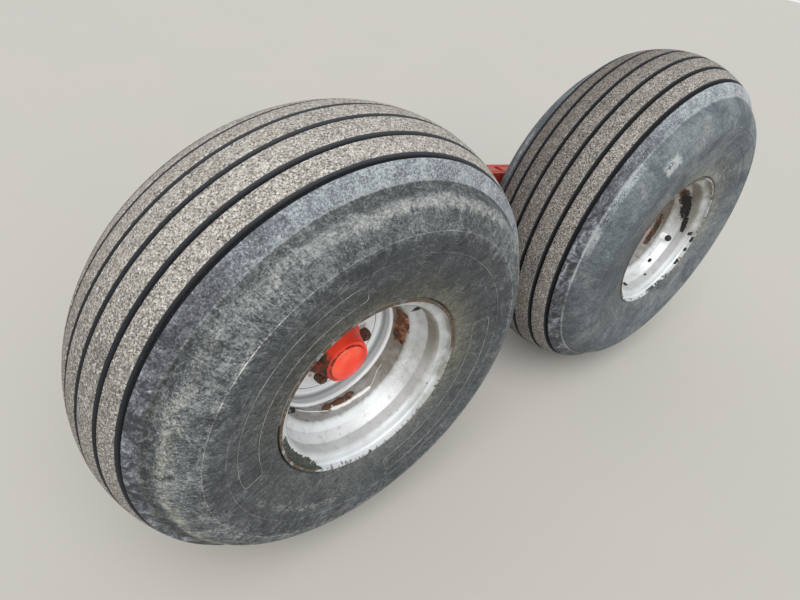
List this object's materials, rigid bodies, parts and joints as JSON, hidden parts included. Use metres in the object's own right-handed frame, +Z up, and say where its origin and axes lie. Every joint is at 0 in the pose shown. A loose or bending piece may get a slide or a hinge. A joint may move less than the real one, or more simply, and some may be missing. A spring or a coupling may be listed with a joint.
{
  "type": "walking tandem wheel unit",
  "caption": "Walking-beam tandem wheel set for a farm trailer: ribbed flotation tyres on deep-dish rims, hubs on stub axles, and a welded rocker beam with a pivot bore.",
  "frame": {"origin": "centre of the pivot bore, in the middle of the beam's width", "axes": "+X towards the rear wheel, -Y outwards to the side where the wheels stand, +Z up"},
  "size_m": [2.2824, 0.576, 1.072],
  "materials": {
    "tyre": "worn dusty rubber",
    "rim_paint": "silver-grey paint, chipped to black, with rust at the welds",
    "hub_red": "red paint, dirty",
    "cap_red": "bright red gloss paint",
    "rusty_steel": "dark brown rust",
    "rubber": "black rubber",
    "red_paint": "red gloss paint, dusty",
    "axle_steel": "red paint over steel, bare on the bearing lands",
    "bush_bronze": "bronze, greasy",
    "fitting_steel": "plated steel"
  },
  "bodies": {
    "beam": {"beam_outer_side": "red_paint", "beam_inner_side": "red_paint", "beam_top_strip": "red_paint", "beam_bottom_strip": "red_paint", "front_sleeve": "red_paint", "rear_sleeve": "red_paint", "pivot_tube": "red_paint", "pivot_bush_outer": "bush_bronze", "pivot_bush_inner": "bush_bronze", "pivot_grease_fitting": "fitting_steel", "front_spindle": "axle_steel", "rear_spindle": "axle_steel"},
    "wheel_front": {"front_tyre": "tyre", "front_rim": "rim_paint", "front_disc": "rim_paint", "front_hub": "hub_red", "front_hub_seal": "rubber", "front_hub_cap": "cap_red", "front_nuts": "rusty_steel", "front_valve": "rubber"},
    "wheel_rear": {"rear_tyre": "tyre", "rear_rim": "rim_paint", "rear_disc": "rim_paint", "rear_hub": "hub_red", "rear_hub_seal": "rubber", "rear_hub_cap": "cap_red", "rear_nuts": "rusty_steel", "rear_valve": "rubber"}
  },
  "joints": [
    {"name": "wheel_front_spin", "type": "hinge", "parent": "beam", "child": "wheel_front", "pos_m": [-0.605, -0.272, -0.062], "axis": [0, -1, 0], "continuous": true},
    {"name": "wheel_rear_spin", "type": "hinge", "parent": "beam", "child": "wheel_rear", "pos_m": [0.605, -0.272, -0.062], "axis": [0, -1, 0], "continuous": true}
  ]
}
